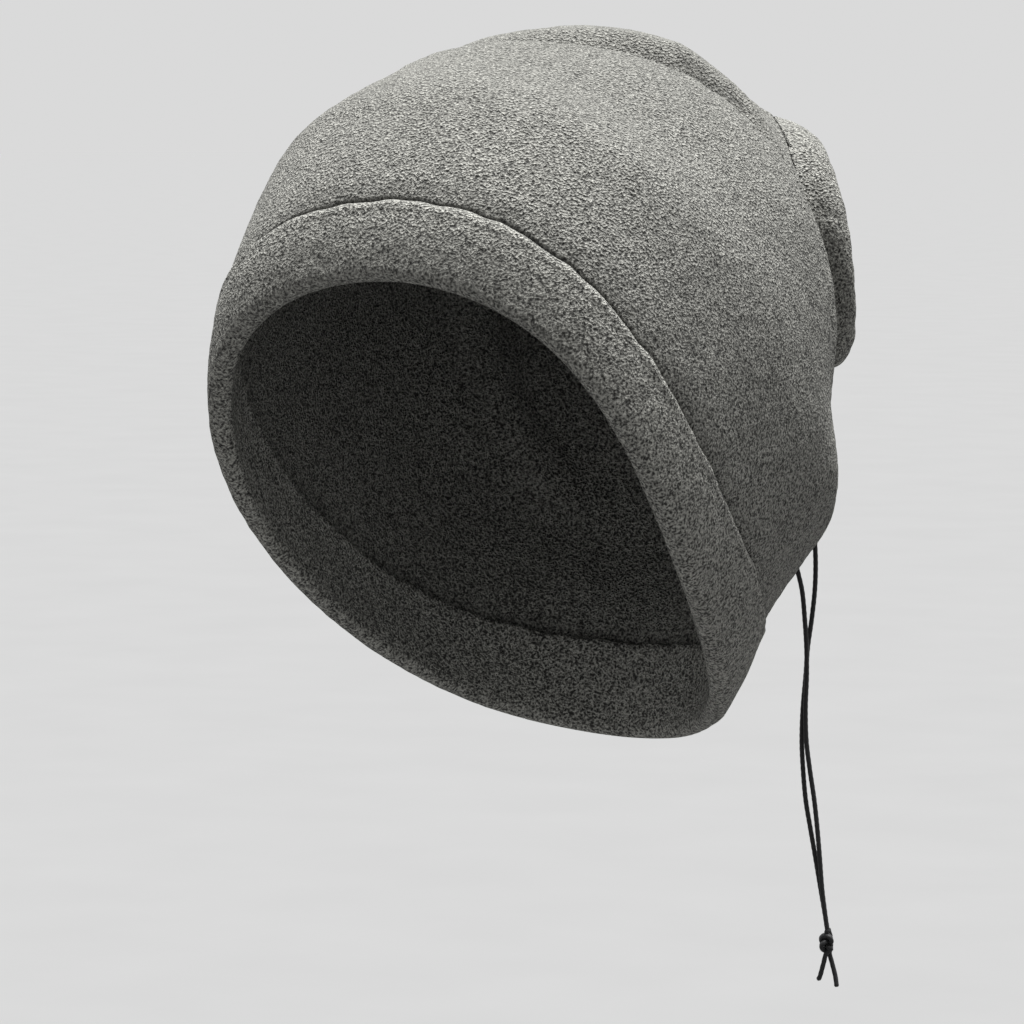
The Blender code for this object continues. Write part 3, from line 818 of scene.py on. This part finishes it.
def make_studio():
    """Plain pale floor under a broad soft overhead light, in pale even surroundings."""
    world = bpy.data.worlds.new("studio")
    bpy.context.scene.world = world
    world.use_nodes = True
    background = world.node_tree.nodes["Background"]
    background.inputs["Color"].default_value = (1.0, 1.0, 1.0, 1.0)
    background.inputs["Strength"].default_value = SURROUNDINGS
    data = bpy.data.lights.new("overhead", "SUN")
    data.energy = OVERHEAD_LIGHT
    data.angle = math.radians(OVERHEAD_SPREAD)
    light = bpy.data.objects.new("overhead", data)
    light.matrix_world = frame_matrix((0.0, 0.2, 1.2), OVERHEAD_FROM, (1.0, 0.0, 0.0))
    bpy.context.scene.collection.objects.link(light)
    bpy.ops.mesh.primitive_circle_add(vertices=128, radius=60.0, fill_type="NGON",
                                      location=(0.0, 0.0, FLOOR_HEIGHT))
    floor = bpy.context.object
    floor.name = "floor"
    floor.data.materials.append(matt_floor("floor_matt"))


# ---- cords

def braid_relief(run, turn):
    """Crossing strands of the braid, as a share of the cord's radius."""
    lay = 2 * np.pi * run / BRAID_LAY
    return 0.93 + 0.11 * np.sqrt(np.abs(np.sin(2 * turn + lay) * np.sin(2 * turn - lay)))


def tail_route(angle, sign):
    """From inside the gather out through the eyelet, down through the lock to the knot."""
    sideways, back, height = LOCK_CENTRE
    hole = (sideways + sign * LOCK_SPACING, back + LOCK_CORD_OFFSET)
    drop = [hang_point(hole[0] - LOCK_PATH_LEAN * z, hole[1], height + z) for z in STRAIGHT_ABOVE]
    drop += [hang_point(*hole, height + z) for z in STRAIGHT_BELOW]
    leave = gather_point(angle, 0.040, EYELET_OUT)
    swing = []
    for share, sideways_share in ((0.28, 0.60), (0.62, 0.95)):
        spot = leave + (drop[0] - leave) * share
        spot[:2] = leave[:2] + (drop[0][:2] - leave[:2]) * sideways_share
        swing.append(spot)
    start = [gather_point(angle, r, EYELET_OUT) for r in (0.0315, 0.0345, 0.0375)]
    hang = [hang_point(left if sign > 0 else right, KNOT_CENTRE[1] + sign * apart, z)
            for z, left, right, apart in CORD_COURSE]
    return start + [leave] + swing + drop + hang


def loop_route():
    """Round the gather inside its casing, from one eyelet to the other."""
    first, last = EYELET_ANGLES[0], EYELET_ANGLES[1] - 360
    lead = ((0, 0.0312, EYELET_OUT), (1, 0.028, 0.0059), (9, 0.0234, 0.0068), (27, 0.020, CORD_RING_OUT))
    route = [(first - turn, radius, out) for turn, radius, out in lead]
    route += [(a, CORD_RING_RADIUS, CORD_RING_OUT) for a in np.linspace(first - 47, last + 47, 11)]
    route += [(last + turn, radius, out) for turn, radius, out in lead[::-1]]
    return [gather_point(*p) for p in route]


def make_cords(mat):
    """Two hanging tails, the loop inside the casing, and the knot that joins the tails."""
    knot = make_knot(mat)
    lock = make_lock()
    for name, angle, sign, node, pieces in (
            ("tail_left", EYELET_ANGLES[0], 1, "cord_tail_left", [knot, *lock]),
            ("tail_right", EYELET_ANGLES[1], -1, "cord_tail_right", [knot])):
        route = smooth_route(tail_route(angle, sign), CORD_STEP)
        tail = joined(name, [(route, CORD_DIAMETER / 2, 24, braid_relief)], mat)
        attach(tail, "hat")
        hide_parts(node)
    route = smooth_route(loop_route(), CORD_STEP)
    loop = joined("loop_in_casing", [(route, CORD_DIAMETER / 2, 20, braid_relief)], mat)
    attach(loop, "hat")
    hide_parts("drawstring_loop")


def make_knot(mat):
    """Overhand knot tied in both cords together, with two short cut ends."""
    centre = hang_point(*KNOT_CENTRE)
    turn = np.linspace(0.5, 2 * np.pi - 0.5, 40)
    wide = 0.0017 + 0.00085 * np.cos(3 * turn)
    loop = np.stack([wide * np.cos(2 * turn), 0.0012 * np.sin(3 * turn), wide * np.sin(2 * turn)], -1)
    top = np.array([(0.0002, 0.0009, 0.0042), (0.0005, 0.0008, 0.0032)])
    pieces = []
    for side in (-1, 1):
        tip = np.array([(0.0006, 0.0008, -0.0034), (0.0014, 0.0007, -0.0065), (0.0024, 0.0002, -0.0105),
                        (0.0028, -0.0004, -0.0125 - 0.001 * side)])
        flip = (side, side, 1)
        local = np.vstack([top * flip, loop + (0.0, 0.0007 * side, 0.0), tip * flip])
        route = smooth_route([centre + hang_point(*p) for p in local], CORD_STEP)
        pieces.append((route, CORD_DIAMETER / 2, 20, braid_relief))
    knot = joined("knot", pieces, mat)
    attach(knot, "hat")
    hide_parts("cord_knot")
    return knot


# ---- cord lock

def lock_matrix():
    """Local X crosses the cords, Z is the press axis outwards of the closed end, -Y is up."""
    turn = math.radians(HANG_TURN)
    place = Matrix.Translation(Vector(hang_point(*LOCK_CENTRE)))
    return place @ Matrix.Rotation(turn, 4, "Z") @ Matrix.Rotation(math.radians(-90), 4, "X")


def oblong(near, far, height):
    """Upright prism with round ends that cuts the cords' passage, in the lock's local axes."""
    x = HOLE_REACH - HOLE_RADIUS
    low, high = near + HOLE_RADIUS, far - HOLE_RADIUS
    outline = []
    for start, corner in ((0, (x, high)), (90, (-x, high)), (180, (-x, low)), (270, (x, low))):
        for a in np.radians(start + np.arange(0, 91, 15)):
            outline.append((corner[0] + HOLE_RADIUS * math.cos(a), corner[1] + HOLE_RADIUS * math.sin(a)))
    count = len(outline)
    points = [(x, y, z) for y in (-height / 2, height / 2) for x, z in outline]
    faces = [tuple(range(count)), tuple(range(count, 2 * count))]
    faces += [(i, (i + 1) % count, count + (i + 1) % count, count + i) for i in range(count)]
    cutter = mesh_object("oblong_cutter", points, faces, bpy.data.materials.new("cutter"))
    cutter.data.transform(lock_matrix())
    return cutter


def barrel_profile():
    """Barrel as (radius, place along the axis): its floor and bore, mouth, grip ridges and closed end."""
    radius, mouth, back = BARREL_RADIUS, BARREL_MOUTH, BARREL_BACK
    points = [(1e-5, BARREL_FLOOR), (BARREL_BORE, BARREL_FLOOR), (BARREL_BORE, mouth),
              (radius - 0.0008, mouth), (radius, mouth - 0.0008), (radius, mouth - 0.0018)]
    for ridge in range(4):
        top = -0.0042 - ridge * 0.0021
        points += [(radius, top), (radius - 0.00045, top - 0.0004),
                   (radius - 0.00045, top - 0.0011), (radius, top - 0.0015)]
    points += [(radius, back + 0.0016), (radius - 0.0005, back + 0.0006), (radius - 0.0016, back),
               (0.0035, back), (0.0031, back + 0.0004), (1e-5, back + 0.0004)]
    return rounded(points, 0.00025)


def button_profile():
    """Button as (radius, place along the axis): its dished cap, rim and stem."""
    foot, top = CAP_OUT
    points = [(1e-5, top - 0.0004), (0.0030, top - 0.0004), (0.0036, top), (CAP_RADIUS - 0.0016, top),
              (CAP_RADIUS - 0.0005, top - 0.0005), (CAP_RADIUS, top - 0.0014), (CAP_RADIUS, foot),
              (PLUNGER_RADIUS, foot), (PLUNGER_RADIUS, PLUNGER_INNER + 0.0005),
              (PLUNGER_RADIUS - 0.0005, PLUNGER_INNER), (1e-5, PLUNGER_INNER)]
    return rounded(points, 0.0003)


def make_lock():
    """Sprung cord lock: a barrel with a sliding button, pierced for both cords."""
    matrix = lock_matrix()
    barrel = lathe("toggle_barrel", barrel_profile(), 72,
                   moulded("plastic_barrel", 0.012, 0.46), matrix, True)
    cut(barrel, oblong(-HOLE_RADIUS, HOLE_RADIUS, 0.024))
    button = lathe("toggle_button", button_profile(), 72,
                   moulded("plastic_button", 0.015, 0.42), matrix, True)
    cut(button, oblong(*SLOT, 0.018))
    low = BARREL_FLOOR + 0.0003 + SPRING_WIRE
    high = PLUNGER_INNER - 0.0003 - SPRING_WIRE
    share = np.linspace(0, 1, SPRING_TURNS * 28 + 1)
    turn = 2 * np.pi * SPRING_TURNS * share
    coil = np.stack([SPRING_RADIUS * np.cos(turn), SPRING_RADIUS * np.sin(turn),
                     low + (high - low) * share, np.ones(len(turn))], -1)
    coil = (coil @ np.array(matrix).T)[:, :3]
    spring = joined("toggle_spring", [(coil, SPRING_WIRE, 10, None)], drawn_wire("wire_bright"))
    for piece, node, body, slot in ((barrel, "lock_barrel", "cord_lock", "lock_barrel"),
                                    (button, "lock_plunger", "lock_button", "lock_plunger"),
                                    (spring, "lock_spring", "cord_lock", "spring")):
        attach(piece, body)
        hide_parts(node)
    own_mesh(spring)
    return barrel, button, spring


# ---- fabric pieces

def turned_out(out, spoke, place):
    """Outward directions that go over into the gather's own spokes at the end of the tube."""
    end = smooth((place - 0.93) / 0.06)[:, None, None]
    return out * (1 - end) + spoke * end


def worn_grid(place, columns):
    """Rings of the folded, pleated tube, and the same rings with softer pleats for its lining side."""
    angle = np.tile(even_angles(columns), (len(place), 1))
    base = fabric(place, angle)
    out = unit(turned_out(normals(base), spokes(angle), place))
    fold = folds(place, angle)
    grow = smooth((place - 0.60) / 0.40)[:, None] ** 1.4
    pleat = (pleat_height(angle) - 0.75) * pleat_share(angle) * grow * 0.0034
    sunk = slump(angle, 0.0 * angle, ring_radius(place)[:, None])
    base = base + sunk * smooth((place - 0.80) / 0.20)[:, None, None]
    outer = base + (fold + pleat)[..., None] * out
    return outer, base + (fold + 0.4 * pleat)[..., None] * out, angle, out


def crown_places():
    """Places of the crown's rings: close together at both seams, even between them."""
    near = np.array([0, 0.2, 0.5, 0.9, 1.4, 2.0, 2.7]) * 0.001 / TUBE_LENGTH
    even = np.linspace(0.0035 / TUBE_LENGTH, 1 - TUBE_START - 0.006, TUBE_ROWS)
    far = 1 - TUBE_START - np.array([0.0042, 0.0028, 0.0016, 0.0007, 0.0])
    return TUBE_START + np.concatenate([near, even, far])


def make_crown(mat):
    """Crown tube, rolled at both seams and grooved along its back seam."""
    place = crown_places()
    grid, soft, angle, plain_out = worn_grid(place, TUBE_COLUMNS)
    out = unit(turned_out(normals(grid), plain_out, place))
    first = np.linalg.norm(grid - grid[:1], axis=2)
    last = np.linalg.norm(grid - grid[-1:], axis=2)
    down = 0.75 * rolled(first, SEAM_ROLL) + 0.0007 * bell(first, 0.0, 0.004) + hem_valley(last, angle)
    seam = np.abs(wrapped(np.degrees(angle - seam_angle(place)[:, None])))
    beside = np.radians(seam) * ring_radius(place)[:, None]
    groove = GROOVE_DEPTH * bell(beside, 0.0, GROOVE_WIDTH) - 0.0005 * bell(beside, 0.0035, 0.002)
    wander = seam_wander(angle) * bell(first, 0.0, WANDER_REACH)
    outer = grid + (pile(grid) - down - groove)[..., None] * out + wander[..., None] * run_of(grid)
    pick = np.unique(np.concatenate([[0], np.arange(7, len(place) - 5, 2), [len(place) - 1]]))
    lining = soft[pick][:, ::2]
    inward = turned_out(normals(lining), plain_out[pick][:, ::2], place[pick])
    inner = lining - (FLEECE_THICK + pile(lining))[..., None] * inward
    inner = inner + wander[pick][:, ::2][..., None] * run_of(lining)
    crown = two_sided("crown_fleece", outer, inner, mat)
    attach(crown, "hat")
    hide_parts("crown_tube")


def band_section():
    """Cross-section of the band, as (distance from the rim, depth) and the layer of each point.

    Layer 0 is the outer fleece, 1 the fold over the rim, 2 the inner fleece, 3 and 4 the gap between.
    """
    span = BAND_REACH - FOLD_RADIUS
    along = np.linspace(0.0, 1.0, 26)
    half = along[::2]
    turn = np.radians(np.arange(15, 180, 15))
    gap = np.array([1.0, 0.75, 0.5, 0.25, 0.04])
    layers = ((BAND_REACH - along * span, 0 * along),
              (FOLD_RADIUS * (1 - np.sin(turn)), FOLD_RADIUS * (1 - np.cos(turn))),
              (FOLD_RADIUS + half * span, 2 * FOLD_RADIUS + 0 * half),
              (FOLD_RADIUS + gap * span, FOLD_RADIUS + 0.00015 + 0 * gap),
              (FOLD_RADIUS + gap[::-1] * span, FOLD_RADIUS - 0.00015 + 0 * gap))
    return np.hstack(layers).T, np.repeat(np.arange(5), [len(far) for far, _ in layers])


def make_band(mat):
    """Face band: fleece folded double over the rim, both layers meeting at the band seam."""
    section, layer = band_section()
    from_rim, depth = section[:, :1], section[:, 1:]
    place = section[:, 0] / BAND_REACH * BAND_END
    angle = np.tile(even_angles(TUBE_COLUMNS), (len(place), 1))
    base = fabric(place, angle)
    tight = np.linspace(0.0, BAND_END, 24)
    facing = normals(fabric(tight, angle[:24]))
    out = unit(np.stack([read_at(place, tight, facing[:, j]) for j in range(TUBE_COLUMNS)], 1))
    ripple = 0.0003 * np.sin(7 * angle + math.radians(40) * np.sin(2 * angle))
    puff = BAND_PUFF * np.sin(np.pi * np.clip(from_rim / BAND_REACH, 0, 1)) ** 0.7 + ripple
    to_seam = (BAND_REACH - from_rim) * np.ones(TUBE_COLUMNS)
    lip = rounded_off(to_seam, 0.0034, 0.0014) - 0.0005 * bell(to_seam, 0.0030, 0.0016)
    height = -depth - np.where(layer[:, None] == 0, lip, 0)
    front = depth < 1.2 * FOLD_RADIUS
    height += np.where(front, puff, 0.5 * puff)
    height += np.where(layer[:, None] < 3, pile(base), 0) * np.where(front, 1, -1)
    ahead = run_of(fabric([BAND_END, TUBE_START + 0.01], angle[:2]))[:1]
    wander = seam_wander(angle) * bell(to_seam, 0.0, WANDER_REACH)
    points = (base + height[..., None] * out + wander[..., None] * ahead).reshape(-1, 3)
    band = mesh_object("band_fleece", points, quads(len(section), TUBE_COLUMNS, True), mat)
    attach(band, "hat")
    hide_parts("face_band")


def gather_grid(outline):
    """Rings of (radius, out) points round the gather's axis."""
    centre, along, _, _ = gather_frame()
    out = outline[:, 1, None, None] * along
    return centre + out + outline[:, 0, None, None] * spokes(even_angles(GATHER_COLUMNS))


def eyelet_clearance(angle, path):
    """Share of the casing's relief that is left near an eyelet, where the fabric is clamped flat."""
    nearest = np.full((len(path), angle.shape[1]), 1.0)
    for eyelet in EYELET_ANGLES:
        across = np.radians(wrapped(np.degrees(angle) - eyelet)) * EYELET_SEAT
        nearest = np.minimum(nearest, np.hypot(across, path[:, 1:] - EYELET_OUT))
    side = path[:, :1] > 0.031
    return np.where(side, smooth((nearest - 0.0046) / 0.0035), 1.0), side


def make_casing(mat):
    """Gathered hem: fleece turned over the drawstring and bunched into a rosette."""
    path = smooth_route([(r, h, 0.0) for r, h in GATHER_OUTLINE], 0.00085)[:, :2]
    run = distances(path)
    share = run / run[-1]
    tangent = unit(np.gradient(path, axis=0))
    proud = np.stack([tangent[:, 1], -tangent[:, 0]], -1)
    keep = np.arange(len(path) - 1, -1, -3)
    back = (path - proud * FLEECE_THICK)[keep]
    back[:, 1] = np.maximum(back[:, 1], 0.0004)
    angle = even_angles(GATHER_COLUMNS)[None, :]
    twisted = angle + (0.5 * smooth((share - 0.2) / 0.4))[:, None]
    amount = np.interp(share, PLEAT_SHARES, PLEAT_DEPTHS)[:, None]
    calm = pleat_share(angle)
    calm = calm + (1 - calm) * smooth((share[:, None] - 0.36) / 0.14)
    relief = (pleat_height(twisted) - 0.94) * amount * calm
    free, side = eyelet_clearance(angle, path)
    seat = np.where(side, np.minimum(EYELET_SEAT + 0.0001 - path[:, :1], 0.0), 0.0) * (1 - free)
    axis = gather_frame()[1]
    spoke = spokes(angle)
    out = proud[:, :1, None] * spoke + proud[:, 1:, None] * axis
    base = gather_grid(path)
    height = (relief + pile(base)) * free - hem_valley(run[:, None] + 0 * angle, angle)
    outer = base + height[..., None] * out + seat[..., None] * spoke
    soft = np.minimum(relief[keep] * 0.6 * free[keep], 0)
    inner = gather_grid(back) + soft[..., None] * out[keep] + seat[keep][..., None] * spoke
    both = np.concatenate([path, back])
    points = np.concatenate([outer, inner]) + slump(angle + 0 * both[:, 1:], both[:, 1:], both[:, :1])
    faces = quads(len(points), GATHER_COLUMNS, True)
    casing = mesh_object("casing_fleece", points.reshape(-1, 3), faces, mat)
    for eyelet in EYELET_ANGLES:
        profile = [(1e-5, 0.030), (0.0027, 0.030), (0.0027, 0.042), (1e-5, 0.042)]
        cut(casing, lathe("hole_cutter", profile, 28, mat, eyelet_matrix(eyelet), True))
    casing.data.shade_smooth()
    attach(casing, "hat")
    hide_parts("drawstring_casing")


def eyelet_matrix(angle):
    """Local Z points outwards through the eyelet, from the gather's axis."""
    foot = gather_point(angle, 0.0, EYELET_OUT)
    radial = gather_point(angle, 1.0, EYELET_OUT) - foot
    return frame_matrix(foot, radial, gather_frame()[1])


def make_eyelets(mat):
    """Rolled metal eyelets, clamped through one layer of the casing."""
    outline = [(0.00170, 0.00095), (0.00205, 0.0013), (0.0040, 0.0012), (0.0046, 0.00075),
               (0.0046, 0.0003), (0.0026, 0.0003), (0.0026, -0.0036), (0.00355, -0.0036),
               (0.00355, -0.0042), (0.00195, -0.0043), (0.0017, -0.0040)]
    profile = [(radius, EYELET_SEAT + height) for radius, height in outline]
    ring = rounded([*profile, profile[0], profile[1]], 0.0003)[1:-5]
    for name, node, angle in (("grommet_left", "eyelet_left", EYELET_ANGLES[0]),
                              ("grommet_right", "eyelet_right", EYELET_ANGLES[1])):
        eyelet = lathe(name, ring, 56, mat, eyelet_matrix(angle), False)
        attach(eyelet, "hat")
        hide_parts(node)


def stitch_row(name, line, outward, spacing, sink, mat, node):
    """A row of short stitches along a line, lying in its groove; sink may vary along the line."""
    run = distances(line)
    count = int(run[-1] / spacing)
    pieces = []
    for i in range(count):
        ends = np.linspace((i + 0.1) * run[-1] / count, (i + 0.9) * run[-1] / count, 6)
        dip = np.interp(ends, run, np.broadcast_to(sink, len(line)))
        dip = dip + 0.0005 * np.abs(np.linspace(-1, 1, 6)) ** 3
        route = read_at(ends, run, line) - read_at(ends, run, outward) * dip[:, None]
        pieces.append((route, 0.00024, 8, None))
    row = joined(name, pieces, mat)
    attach(row, "hat")
    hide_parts(node)


def make_stitches(mat):
    """Stitches of the band seam, the back seam and the casing seam."""
    around = even_angles(TUBE_COLUMNS)
    closed = np.append(around, 2 * np.pi)
    rows = [BAND_END, (BAND_END + TUBE_START) / 2, TUBE_START]
    edge = fabric(rows, np.tile(around, (3, 1)))
    out = normals(edge)
    loop = np.vstack([edge[1], edge[1][:1]])
    facing = np.vstack([out[1], out[1][:1]])
    stitch_row("band_stitches", loop, facing, 0.0032, 0.0016, mat, "band_seam_thread")
    place = np.linspace(TUBE_START + 0.008, 0.985, 90)
    span = seam_angle(place)[:, None] + np.radians([-1, 0, 1])
    grid = fabric(place, span)
    out = unit(np.cross(grid[:, 2] - grid[:, 0], np.gradient(grid[:, 1], axis=0)))
    line = grid[:, 1] + out * folds(place, span)[:, 1:2]
    stitch_row("back_stitches", line, out, 0.003, 0.0014, mat, "back_seam_thread")
    line = gather_frame()[0] + spokes(closed) * GATHER_RADIUS + slump(closed, 0 * closed, GATHER_RADIUS)
    sink = 0.0013 + hem_valley(0.0, closed)
    stitch_row("casing_stitches", line, spokes(closed), 0.003, sink, mat, "casing_seam_thread")


# ---- build

make_camera()
cord_mat = braid("cord_braid_black")
make_cords(cord_mat)
# The crown, band and gather are one fleece; the band's and the gather's paler levels are painted light
# that brightens them beyond the crown.
make_crown(fleece("fleece_crown", 0.125))
make_band(fleece("fleece_band", 0.15))
make_casing(fleece("fleece_gather", 0.148))
make_eyelets(lacquered("eyelet_lacquer"))
make_stitches(thread("thread_grey", 0.035))
make_studio()
bpy.context.scene.view_settings.view_transform = "Standard"
